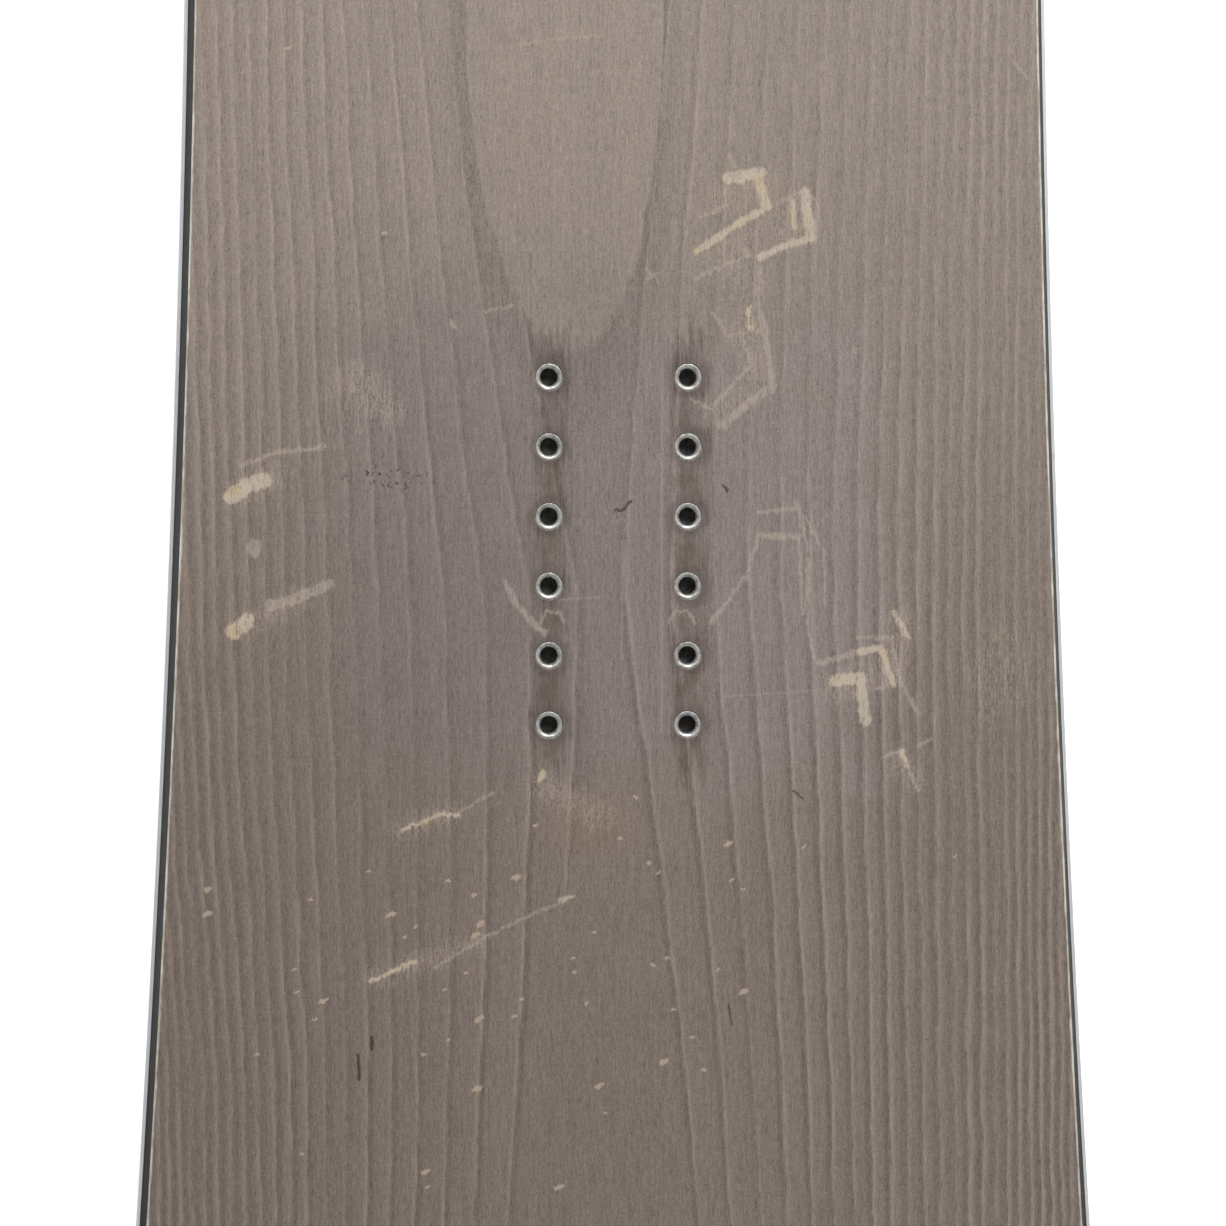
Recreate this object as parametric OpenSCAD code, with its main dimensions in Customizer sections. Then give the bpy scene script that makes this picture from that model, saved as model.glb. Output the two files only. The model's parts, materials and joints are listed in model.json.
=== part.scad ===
// Bare directional snowboard of sandwich construction, lying on its running surface.
// Frame: +Y points to the nose, +X to the right-hand edge seen from above, +Z up.
// The origin is under the middle of the overall length, at the height of the contact points.

/* [Outline] */
// Length of edge between the two contact lines
effective_edge = 1210; // [1100:5:1300]
// Radius of the sidecut arc
sidecut_radius = 8200; // [7000:50:9500]
// Width over the steel edges at the narrowest place
waist_width = 245; // [235:1:270]
// Length of the nose beyond its contact line
nose_length = 200; // [160:5:240]
// Length of the tail beyond its contact line
tail_length = 180; // [150:5:220]
// Bluntness of the tips, where 2 is an ellipse
tip_fullness = 2.4; // [2:0.1:3]

/* [Side profile] */
// Height of the running surface above the floor at the waist
camber = 6; // [0:0.5:10]
// Rise of the nose
nose_rise = 55; // [30:1:70]
// Rise of the tail
tail_rise = 42; // [25:1:60]

/* [Layers] */
// Thickness of the running base
base_t = 1.3; // [1:0.1:2]
// Thickness of each glass fibre laminate
glass_t = 0.6; // [0.4:0.1:1]
// Thickness of the wood veneer topsheet
veneer_t = 0.5; // [0.3:0.1:0.8]
// Thickness of the wood core between and under the feet
core_t = 7.5; // [7:0.1:9]
// Thickness of the filler layer at the tips
tip_t = 2.2; // [1.8:0.1:4]
// Width of one stringer of the core
stringer_w = 20; // [18:1:20]
// Radius of the arc on which the core ends
core_end_radius = 400; // [300:10:600]

/* [Edges and sidewalls] */
// Width of the steel edge's rail
edge_w = 2; // [1.6:0.1:3]
// Length of the anchoring tab behind the rail
tab_w = 6; // [4:0.5:7]
// Thickness of the anchoring tab
tab_t = 0.4; // [0.3:0.1:0.4]
// Width of the damping foil over the tab
foil_w = 8; // [7.5:0.5:9]
// Distance from the outline to the sidewall's foot
ledge_w = 1.1; // [0.5:0.1:1.5]
// Distance from the outline to the sidewall's top
bevel_w = 3.2; // [2:0.1:4]
// Width of glass fibre left showing round the veneer
veneer_margin = 0.5; // [0.2:0.1:1]

/* [Inserts] */
// Distance between the centres of the two insert packs
stance = 600; // [500:10:620]
// Distance of the packs' middle behind the waist
setback = 25; // [0:5:40]
// Pairs of inserts in each pack
insert_rows = 6; // [4:2:6]
// Distance between rows
row_pitch = 20; // [18:1:25]
// Distance between the two columns
column_gap = 40; // [38:1:42]
// Radius of an insert's barrel
barrel_r = 3.9; // [3.6:0.1:4.2]
// Radius of an insert's flange
flange_r = 8; // [7:0.5:8.5]
// Radius of the M6 thread's bore
bore_r = 2.5; // [2.4:0.05:2.6]
// Depth of an insert's mouth below the deck
mouth_depth = 0.3; // [0.1:0.1:0.6]

/* [Hidden] */
$fn = 64;
half_run = effective_edge / 2;
half_waist = waist_width / 2;
board_length = effective_edge + nose_length + tail_length;
waist_y = (tail_length - nose_length) / 2;
contact_slope = half_run / sqrt(pow(sidecut_radius, 2) - pow(half_run, 2));
contact_half = side_x(half_run);

// Levels above the running surface, each [fixed height, share of the core's thickness]
SOLE = [0, 0];
BASE_TOP = [base_t, 0];
TAB_TOP = [base_t + tab_t, 0];
CORE_FOOT = [base_t + glass_t, 0];
WALL_FOOT = [base_t + 2 * glass_t, 0];
CORE_TOP = [base_t + glass_t, 1];
GLASS_TOP = [base_t + 2 * glass_t, 1];
DECK = [base_t + 2 * glass_t + veneer_t, 1];

// Insets from the outline
tab_inset = edge_w + tab_w;
foil_inset = edge_w + foil_w;
core_inset = foil_inset + glass_t;
veneer_inset = bevel_w + veneer_margin;

core_flat = stance / 2 + setback + (insert_rows / 2 + 0.5) * row_pitch;
core_reach = half_run + 15;
taper_end = half_run + 60;
stringers = 9;

// Insert details
flange_t = 1.2;
notch_r = 2;
notches = 4;
floor_t = 1.2;
mouth_r = 3.5;
mouth_chamfer = 0.9;
overlap = 0.05;
foot_gap = 0.1;
pocket_gap = 0.1;
hole_gap = 0.2;

// Drawing
tip_steps = 24;
run_steps = 40;
past_tip = 8;
below = 0.5;
tall = 200;
wide = 400;
hole_depth = 50;

STRINGER_NAMES = [for (i = [1:stringers]) str("core_stringer_", i)];

// ---- Outline, as seen from above ----

// Half width at distance d from the waist, along the sidecut
function side_x(d) =
    half_waist + sidecut_radius - sqrt(pow(sidecut_radius, 2) - pow(d, 2));

// Point on a tip's outline: 0 degrees at the contact line, 90 at the end of the tip
function tip_point(length, angle) =
    let (u = sin(angle))
    [
        (contact_half + contact_slope * length * u) * sqrt(1 - pow(u, tip_fullness)),
        half_run + length * u
    ];

// Right-hand half of the outline, from the end of the tail to the end of the nose
right_side = concat(
    [for (i = [0:tip_steps - 1])
        let (p = tip_point(tail_length, 90 - 90 * i / tip_steps)) [p[0], waist_y - p[1]]],
    [for (i = [0:run_steps])
        let (d = half_run * (2 * i / run_steps - 1)) [side_x(d), waist_y + d]],
    [for (i = [1:tip_steps])
        let (p = tip_point(nose_length, 90 * i / tip_steps)) [p[0], waist_y + p[1]]]
);
last = len(right_side) - 1;

// Point i of the right-hand half, moved inwards by inset at right angles to the outline
function inset_point(i, inset) =
    let (
        before = i == 0 ? [-right_side[1][0], right_side[1][1]] : right_side[i - 1],
        after = i == last ? [-right_side[i - 1][0], right_side[i - 1][1]] : right_side[i + 1],
        along = (after - before) / norm(after - before)
    )
    right_side[i] + inset * [-along[1], along[0]];

module plan(inset) {
    half = [for (i = [0:last]) inset_point(i, inset)];
    polygon(concat(half, [for (i = [last - 1:-1:1]) [-half[i][0], half[i][1]]]));
}

// ---- Side profile ----

// Height of the running surface at y
function sole_z(y) =
    let (d = y - waist_y)
    abs(d) <= half_run ? camber * pow(1 - pow(d / half_run, 2), 2)
    : d > 0 ? nose_rise * pow((d - half_run) / nose_length, 2)
    : tail_rise * pow((-d - half_run) / tail_length, 2);

function sole_angle(y) = atan2(sole_z(y + 1) - sole_z(y - 1), 2);

function smooth(t) = let (c = min(max(t, 0), 1)) c * c * (3 - 2 * c);

// Thickness of the core layer at y
function core_at(y) =
    let (d = abs(y - waist_y))
    core_t + (tip_t - core_t) * smooth((d - core_flat) / (taper_end - core_flat));

function height(level, y) = level[0] + level[1] * core_at(y);

// Point [y, z] of a level, measured square to the running surface
function level_point(level, y) =
    let (h = height(level, y), a = sole_angle(y))
    [y - h * sin(a), sole_z(y) + h * cos(a)];

stations = concat(
    [for (i = [0:tip_steps - 1])
        -board_length / 2 - past_tip + (tail_length + past_tip) * i / tip_steps],
    [for (i = [0:run_steps - 1])
        waist_y - half_run + effective_edge * i / run_steps],
    [for (i = [0:tip_steps])
        waist_y + half_run + (nose_length + past_tip) * i / tip_steps]
);

// Everything between two levels, over the full width
module band(low, high) {
    n = len(stations) - 1;
    rotate([90, 0, 90])
        linear_extrude(wide, center = true)
            polygon(concat(
                [for (y = stations) level_point(low, y)],
                [for (i = [n:-1:0]) level_point(high, stations[i])]
            ));
}

// A plan view extruded through the whole height of the board
module upright() {
    translate([0, 0, -below])
        linear_extrude(tall)
            children();
}

// A layer of the board inside one inset
module sheet(low, high, inset) {
    intersection() {
        band(low, high);
        upright() plan(inset);
    }
}

// One side's strip of a layer, between two insets
module half_rim(low, high, outer, inner, side) {
    intersection() {
        band(low, high);
        upright()
            intersection() {
                difference() {
                    plan(outer);
                    plan(inner);
                }
                translate([side > 0 ? 0 : -wide / 2, -board_length])
                    square([wide / 2, 2 * board_length]);
            }
    }
}

// ---- Inserts ----

front_y = waist_y - setback + stance / 2;
rear_y = front_y - stance;

function insert_places(centre_y) = [
    for (row = [0:insert_rows - 1], side = [-1, 1])
        [side * column_gap / 2, centre_y + (row - (insert_rows - 1) / 2) * row_pitch]
];

all_inserts = concat(insert_places(front_y), insert_places(rear_y));

// Height of an insert's underside and of its mouth
function insert_foot(y) = sole_z(y) + height(CORE_FOOT, y) + foot_gap;
function insert_mouth(y) = sole_z(y) + height(DECK, y) - mouth_depth;

module insert(y) {
    tall_by = insert_mouth(y) - insert_foot(y);
    difference() {
        union() {
            cylinder(h = tall_by, r = barrel_r);
            difference() {
                cylinder(h = flange_t, r = flange_r);
                for (i = [0:notches - 1])
                    rotate(45 + 360 * i / notches)
                        translate([flange_r, 0, -1])
                            cylinder(h = flange_t + 2, r = notch_r);
            }
        }
        translate([0, 0, floor_t])
            cylinder(h = tall_by, r = bore_r);
        translate([0, 0, tall_by - mouth_chamfer])
            cylinder(h = mouth_chamfer + overlap, r1 = bore_r, r2 = mouth_r + overlap);
    }
}

module insert_pack(centre_y) {
    for (p = insert_places(centre_y))
        translate([p[0], p[1], insert_foot(p[1])])
            insert(p[1]);
}

// Holes round the barrels, right through whatever they are cut from
module barrel_holes(radius) {
    for (p = all_inserts)
        translate([p[0], p[1], 0])
            cylinder(h = hole_depth, r = radius);
}

// Clearance for barrels and flanges in one stringer
module insert_pockets(low_x, high_x) {
    for (p = all_inserts)
        if (p[0] > low_x && p[0] < high_x)
            translate([p[0], p[1], 0]) {
                cylinder(h = hole_depth, r = barrel_r + pocket_gap);
                cylinder(h = insert_foot(p[1]) + flange_t + pocket_gap, r = flange_r + pocket_gap);
            }
}

// ---- Sub-parts ----

module veneer_topsheet() {
    color([0.54, 0.49, 0.45])
        difference() {
            sheet(GLASS_TOP, DECK, veneer_inset);
            barrel_holes(barrel_r + hole_gap);
        }
}

module top_glass_laminate() {
    color([0.80, 0.80, 0.74])
        difference() {
            sheet(CORE_TOP, GLASS_TOP, bevel_w);
            barrel_holes(barrel_r + pocket_gap);
        }
}

// The lower laminate steps up over the edge tabs, to run out under the sidewalls.
module bottom_glass_laminate() {
    color([0.80, 0.80, 0.74]) {
        sheet(BASE_TOP, CORE_FOOT, foil_inset);
        intersection() {
            band(CORE_FOOT, WALL_FOOT);
            upright()
                difference() {
                    plan(ledge_w);
                    plan(core_inset);
                }
        }
    }
}

module running_base() {
    color([0.10, 0.10, 0.11])
        sheet(SOLE, BASE_TOP, edge_w);
}

// Plan of the core layer: its ends are arcs that the tip spacers meet
module core_plan() {
    arc_back = sqrt(pow(core_end_radius, 2) - pow(contact_half - core_inset, 2));
    square([wide, 2 * core_reach], center = true);
    for (end = [-1, 1])
        translate([0, end * (core_reach - arc_back)])
            circle(r = core_end_radius, $fn = 256);
}

module core_strip(low_x, high_x) {
    difference() {
        intersection() {
            band(CORE_FOOT, CORE_TOP);
            upright()
                intersection() {
                    plan(core_inset);
                    translate([0, waist_y]) core_plan();
                    translate([low_x, -board_length])
                        square([high_x - low_x, 2 * board_length]);
                }
        }
        insert_pockets(low_x, high_x);
    }
}

// Stringers alternate between a pale, light wood and a darker, denser one.
module core_stringer(number) {
    low_x = (number - 1 - stringers / 2) * stringer_w;
    color(number % 2 == 0 ? [0.66, 0.50, 0.34] : [0.85, 0.76, 0.58])
        core_strip(low_x, low_x + stringer_w);
}

module core_edge_stringer(side) {
    inner_x = stringers / 2 * stringer_w;
    color([0.66, 0.50, 0.34])
        core_strip(side > 0 ? inner_x : -wide / 2, side > 0 ? wide / 2 : -inner_x);
}

// Plastic filler that takes the core's place at a tip
module tip_spacer(end) {
    color([0.16, 0.16, 0.17])
        intersection() {
            union() {
                sheet(CORE_FOOT, CORE_TOP, core_inset);
                sheet(WALL_FOOT, CORE_TOP, bevel_w);
            }
            upright()
                difference() {
                    translate([-wide / 2, end > 0 ? waist_y + core_reach : waist_y - core_reach - wide])
                        square([wide, wide]);
                    translate([0, waist_y]) core_plan();
                }
        }
}

// Bevelled sidewall, swept along the outline beside the core
module sidewall(side) {
    inside = [for (i = [0:last]) if (abs(right_side[i][1] - waist_y) <= half_run) i];
    rail = concat([inside[0]], inside, [inside[len(inside) - 1]]);
    ends = len(rail) - 1;
    function rail_y(k, p) =
        k == 0 ? waist_y - core_reach : k == ends ? waist_y + core_reach : p[1];
    function corner(k, inset, level) =
        let (
            p = inset_point(rail[k], inset),
            y = rail_y(k, p),
            x = p[0] + contact_slope * (abs(y - waist_y) - abs(p[1] - waist_y))
        )
        [side * x, y, sole_z(y) + height(level, y)];
    points = [
        for (k = [0:ends])
            each [
                corner(k, core_inset, WALL_FOOT),
                corner(k, ledge_w, WALL_FOOT),
                corner(k, bevel_w, CORE_TOP),
                corner(k, core_inset, CORE_TOP)
            ]
    ];
    walls = [
        for (k = [0:ends - 1], j = [0:3])
            let (a = 4 * k + j, b = 4 * k + (j + 1) % 4)
            [[a, b, b + 4], [a, b + 4, a + 4]]
    ];
    triangles = concat(
        [for (pair = walls) each pair],
        [[0, 3, 2], [0, 2, 1]],
        [[4 * ends, 4 * ends + 1, 4 * ends + 2], [4 * ends, 4 * ends + 2, 4 * ends + 3]]
    );
    color([0.09, 0.09, 0.10])
        polyhedron(points, side > 0 ? triangles : [for (t = triangles) [t[2], t[1], t[0]]]);
}

// Rubber foil that lies on the edge tab and turns down at its inner end
module damping_foil(side) {
    color([0.05, 0.05, 0.05]) {
        half_rim(TAB_TOP, CORE_FOOT, edge_w, foil_inset, side);
        half_rim(BASE_TOP, CORE_FOOT, tab_inset, foil_inset, side);
    }
}

// Rail with its anchoring tab; the two edges meet at the ends of the nose and tail
module steel_edge(side) {
    color([0.70, 0.71, 0.73]) {
        half_rim(SOLE, CORE_FOOT, 0, edge_w, side);
        half_rim(BASE_TOP, TAB_TOP, edge_w / 2, tab_inset, side);
    }
}

module insert_metal(centre_y) {
    color([0.78, 0.78, 0.80])
        insert_pack(centre_y);
}

veneer_topsheet();
top_glass_laminate();
bottom_glass_laminate();
running_base();
for (i = [1:stringers])
    core_stringer(i);
core_edge_stringer(-1);  // core_edge_stringer_left
core_edge_stringer(1);  // core_edge_stringer_right
tip_spacer(1);  // nose_spacer
tip_spacer(-1);  // tail_spacer
sidewall(-1);  // sidewall_left
sidewall(1);  // sidewall_right
damping_foil(-1);  // damping_foil_left
damping_foil(1);  // damping_foil_right
steel_edge(-1);  // steel_edge_left
steel_edge(1);  // steel_edge_right
insert_metal(front_y);  // front_inserts
insert_metal(rear_y);  // rear_inserts
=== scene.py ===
"""The looks of the snowboard: a stained wood veneer deck with wear, turned inserts, sidewalls,
steel edges and a ground base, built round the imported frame. All lengths are in metres unless
a name ends in _mm."""

import json
import math

import bmesh
import bpy
import numpy as np
from mathutils import Matrix, Vector


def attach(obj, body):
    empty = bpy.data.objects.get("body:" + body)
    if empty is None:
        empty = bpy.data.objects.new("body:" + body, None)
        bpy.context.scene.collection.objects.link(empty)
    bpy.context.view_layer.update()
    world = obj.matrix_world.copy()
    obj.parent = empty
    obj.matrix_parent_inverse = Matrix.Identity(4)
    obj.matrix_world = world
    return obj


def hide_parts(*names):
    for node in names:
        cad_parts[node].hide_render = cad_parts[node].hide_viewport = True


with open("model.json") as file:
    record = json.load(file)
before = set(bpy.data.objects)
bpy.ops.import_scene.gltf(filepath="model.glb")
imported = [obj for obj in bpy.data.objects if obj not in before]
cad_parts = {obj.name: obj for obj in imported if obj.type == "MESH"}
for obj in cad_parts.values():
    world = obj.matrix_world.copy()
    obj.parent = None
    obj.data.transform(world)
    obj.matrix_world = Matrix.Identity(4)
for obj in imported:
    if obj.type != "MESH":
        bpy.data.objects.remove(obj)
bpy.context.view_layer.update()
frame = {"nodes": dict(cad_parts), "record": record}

MM = 0.001

# ---- The board's layers, as in the CAD model ----

BASE_T = 1.3 * MM
GLASS_T = 0.6 * MM
VENEER_T = 0.5 * MM
CORE_MIDDLE = 7.5 * MM
CORE_TIP = 2.2 * MM
CORE_FLAT = 395 * MM      # the core is full thickness up to this far from the waist
CORE_TAPERED = 665 * MM   # and thinnest from here on
CORE_REACH = 620 * MM     # sidewalls end here
TIP_FULLNESS = 2.4

EDGE_W = 2.0 * MM
TAB_W = 6.0 * MM
TAB_T = 0.4 * MM
LEDGE_W = 1.1 * MM
BEVEL_W = 3.2 * MM
CORE_INSET = 10.6 * MM
VENEER_INSET = 3.7 * MM

# Heights above the running surface, each (fixed height, share of the core's thickness)
SOLE = (0.0, 0.0)
BASE_TOP = (BASE_T, 0.0)
TAB_TOP = (BASE_T + TAB_T, 0.0)
CORE_FOOT = (BASE_T + GLASS_T, 0.0)
WALL_FOOT = (BASE_T + 2 * GLASS_T, 0.0)
CORE_TOP = (BASE_T + GLASS_T, 1.0)
GLASS_TOP = (BASE_T + 2 * GLASS_T, 1.0)
DECK = (BASE_T + 2 * GLASS_T + VENEER_T, 1.0)


def node_points(name):
    """The vertices of a CAD node."""
    mesh = frame["nodes"][name].data
    points = np.empty(3 * len(mesh.vertices))
    mesh.vertices.foreach_get("co", points)
    return points.reshape(-1, 3)


def read_outline():
    """The outline's driving dimensions, read off the right-hand steel edge."""
    rail = node_points("steel_edge_right")
    contacts = rail[rail[:, 2] < 1e-6][:, 1]
    tail_line, nose_line = contacts.min(), contacts.max()
    waist = (tail_line + nose_line) / 2
    at_contact = rail[abs(rail[:, 1] - nose_line) < 1e-5]
    at_waist = rail[abs(rail[:, 1] - waist) < 1e-4]
    at_nose = rail[abs(rail[:, 1] - rail[:, 1].max()) < 1e-5]
    at_tail = rail[abs(rail[:, 1] - rail[:, 1].min()) < 1e-5]
    return {
        "waist_y": waist,
        "half_run": (nose_line - tail_line) / 2,
        "contact_half": at_contact[:, 0].max(),
        "half_waist": at_waist[:, 0].max(),
        "nose_length": rail[:, 1].max() - nose_line,
        "tail_length": tail_line - rail[:, 1].min(),
        "camber": at_waist[:, 2].min(),
        "nose_rise": at_nose[:, 2].min(),
        "tail_rise": at_tail[:, 2].min(),
    }


SHAPE = read_outline()
WAIST_Y, HALF_RUN = SHAPE["waist_y"], SHAPE["half_run"]
SIDECUT_DEPTH = SHAPE["contact_half"] - SHAPE["half_waist"]
SIDECUT_RADIUS = (HALF_RUN**2 + SIDECUT_DEPTH**2) / (2 * SIDECUT_DEPTH)
CONTACT_SLOPE = HALF_RUN / math.sqrt(SIDECUT_RADIUS**2 - HALF_RUN**2)


def outline(tip_rows, run_rows):
    """The right-hand half of the outline, from the end of the tail to the end of the nose."""
    turn = np.linspace(0, math.pi / 2, tip_rows + 1)[1:]
    run = np.linspace(-HALF_RUN, HALF_RUN, run_rows + 1)

    def tip(length):
        u = np.sin(turn)
        x = (SHAPE["contact_half"] + CONTACT_SLOPE * length * u) * (1 - u**TIP_FULLNESS) ** 0.5
        return x, HALF_RUN + length * u

    nose_x, nose_d = tip(SHAPE["nose_length"])
    tail_x, tail_d = tip(SHAPE["tail_length"])
    side_x = SHAPE["half_waist"] + SIDECUT_RADIUS - np.sqrt(SIDECUT_RADIUS**2 - run**2)
    x = np.concatenate([tail_x[::-1], side_x, nose_x])
    d = np.concatenate([-tail_d[::-1], run, nose_d])
    x[0] = x[-1] = 0.0
    return np.column_stack([x, WAIST_Y + d])


def inward(points):
    """The unit vector that points into the board, at each point of the half outline."""
    mirror = np.array([-1.0, 1.0])
    before = np.vstack([points[1] * mirror, points[:-1]])
    after = np.vstack([points[1:], points[-2] * mirror])
    along = after - before
    along /= np.linalg.norm(along, axis=1)[:, None]
    return np.column_stack([-along[:, 1], along[:, 0]])


def sole_height(y):
    """Height of the running surface above the floor."""
    d = y - WAIST_Y
    middle = SHAPE["camber"] * (1 - np.clip(abs(d) / HALF_RUN, 0, 1) ** 2) ** 2
    nose = SHAPE["nose_rise"] * (np.maximum(d - HALF_RUN, 0) / SHAPE["nose_length"]) ** 2
    tail = SHAPE["tail_rise"] * (np.maximum(-d - HALF_RUN, 0) / SHAPE["tail_length"]) ** 2
    return middle + nose + tail


def core_thickness(y):
    """Thickness of the core layer, which tapers towards the tips."""
    t = np.clip((abs(y - WAIST_Y) - CORE_FLAT) / (CORE_TAPERED - CORE_FLAT), 0, 1)
    return CORE_MIDDLE + (CORE_TIP - CORE_MIDDLE) * t * t * (3 - 2 * t)


def level_height(level, y):
    """Height above the floor of a level at plan position y."""
    foot = y
    for _ in range(4):
        slope = np.arctan((sole_height(foot + MM) - sole_height(foot - MM)) / (2 * MM))
        rise = level[0] + level[1] * core_thickness(foot)
        foot = y + rise * np.sin(slope)
    return sole_height(foot) + rise * np.cos(slope)


# ---- Meshes ----

def new_piece(name, vertices, faces, materials, indices=None, smooth_angle=30):
    """A mesh object that rides on the board, with doubles merged and outward normals."""
    mesh = bpy.data.meshes.new(name)
    mesh.from_pydata([tuple(v) for v in vertices], [], faces)
    for material in materials:
        mesh.materials.append(material)
    if indices is not None:
        mesh.polygons.foreach_set("material_index", indices)
    work = bmesh.new()
    work.from_mesh(mesh)
    bmesh.ops.remove_doubles(work, verts=work.verts, dist=1e-7)
    bmesh.ops.dissolve_degenerate(work, edges=work.edges, dist=1e-8)
    bmesh.ops.recalc_face_normals(work, faces=work.faces)
    work.to_mesh(mesh)
    work.free()
    mesh.polygons.foreach_set("use_smooth", [True] * len(mesh.polygons))
    mesh.set_sharp_from_angle(angle=math.radians(smooth_angle))
    piece = bpy.data.objects.new(name, mesh)
    bpy.context.scene.collection.objects.link(piece)
    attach(piece, "root")
    return piece


def wander(length, step, seed, knots_mm, size):
    """Smooth random numbers along a line of samples: one knot every knots_mm."""
    rng = np.random.default_rng(seed)
    count = max(4, int(length * step / (knots_mm * MM)))
    return size * np.interp(np.linspace(0, count - 1, length), np.arange(count),
                            rng.normal(size=count))


def graded(edge_steps, middle_steps, edge_width):
    """Positions across the board, -1 to 1, with edge_steps (from the rim, in metres) finer."""
    middle = np.linspace(-1, 1, middle_steps + 1) * (1 - edge_steps[-1] / edge_width)
    left = -1 + np.array(edge_steps[:-1]) / edge_width
    return np.concatenate([left, middle, -left[::-1]])


def sheet_mesh(rim, face_level, back_level, face_rim, across, relief=None):
    """A layer whose seen face is a fine grid and whose back is one quad a row.

    rim is the back's right half outline, and face_rim the face's right and left halves.
    Returns the vertices, the faces and a list that says "face", "rim" or "back" for each.
    """
    right, left = face_rim
    rows, columns = len(rim), len(across)
    share = (across + 1) / 2
    x = left[:, :1] * (1 - share) + right[:, :1] * share
    y = left[:, 1:] * (1 - share) + right[:, 1:] * share
    z = level_height(face_level, y)
    if relief is not None:
        z = z + relief(x, y)
    face = np.stack([x, y, z], axis=2).reshape(-1, 3)
    back_z = level_height(back_level, rim[:, 1])
    back_right = np.column_stack([rim, back_z])
    back_left = back_right * [-1, 1, 1]
    vertices = np.vstack([face, back_left, back_right])
    low, high = rows * columns, rows * columns + rows
    faces, kinds = [], []
    for i in range(rows - 1):
        a, b = i * columns, (i + 1) * columns
        for j in range(columns - 1):
            faces.append((a + j, a + j + 1, b + j + 1, b + j))
        kinds += ["face"] * (columns - 1)
        faces.append((low + i, a, b, low + i + 1))
        faces.append((a + columns - 1, high + i, high + i + 1, b + columns - 1))
        faces.append((low + i, low + i + 1, high + i + 1, high + i))
        kinds += ["rim", "rim", "back"]
    return vertices, faces, kinds


def sweep_mesh(section, first, last, side, stations, flat_ends=None, wear=None):
    """A section of (inset, level) corners swept along one side of the outline.

    flat_ends is a distance from the waist at which the ends are cut square.
    wear(station, corner) moves a corner inwards and down, in metres.
    """
    normals = inward(stations)
    ring = []
    count = len(section)
    picked = range(first, last + 1)
    for i in picked:
        for k, (inset, level) in enumerate(section):
            dent = wear[i, k] if wear is not None else 0.0
            p = stations[i] + (inset + dent) * normals[i]
            if flat_ends and i in (first, last):
                end_y = WAIST_Y + math.copysign(flat_ends, p[1] - WAIST_Y)
                p[0] += CONTACT_SLOPE * (abs(end_y - WAIST_Y) - abs(p[1] - WAIST_Y))
                p[1] = end_y
            z = float(level_height(level, p[1]))
            ring.append((side * p[0], p[1], z))
    faces = []
    for i in range(len(picked) - 1):
        for k in range(count):
            a, b = i * count + k, i * count + (k + 1) % count
            faces.append((a, b, b + count, a + count))
    faces.append(tuple(range(count)))
    faces.append(tuple(range(len(ring) - count, len(ring))))
    return ring, faces


# ---- Shader expressions ----

class Value:
    """A shader socket that can be added, multiplied and compared like a number."""

    def __init__(self, shader, socket):
        self.shader = shader
        self.socket = socket

    def __add__(self, other):
        return self.shader.math("ADD", self, other)

    def __sub__(self, other):
        return self.shader.math("SUBTRACT", self, other)

    def __rsub__(self, other):
        return self.shader.math("SUBTRACT", other, self)

    def __mul__(self, other):
        return self.shader.math("MULTIPLY", self, other)

    def __truediv__(self, other):
        return self.shader.math("DIVIDE", self, other)

    def __pow__(self, other):
        return self.shader.math("POWER", self, other)

    __radd__ = __add__
    __rmul__ = __mul__


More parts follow.
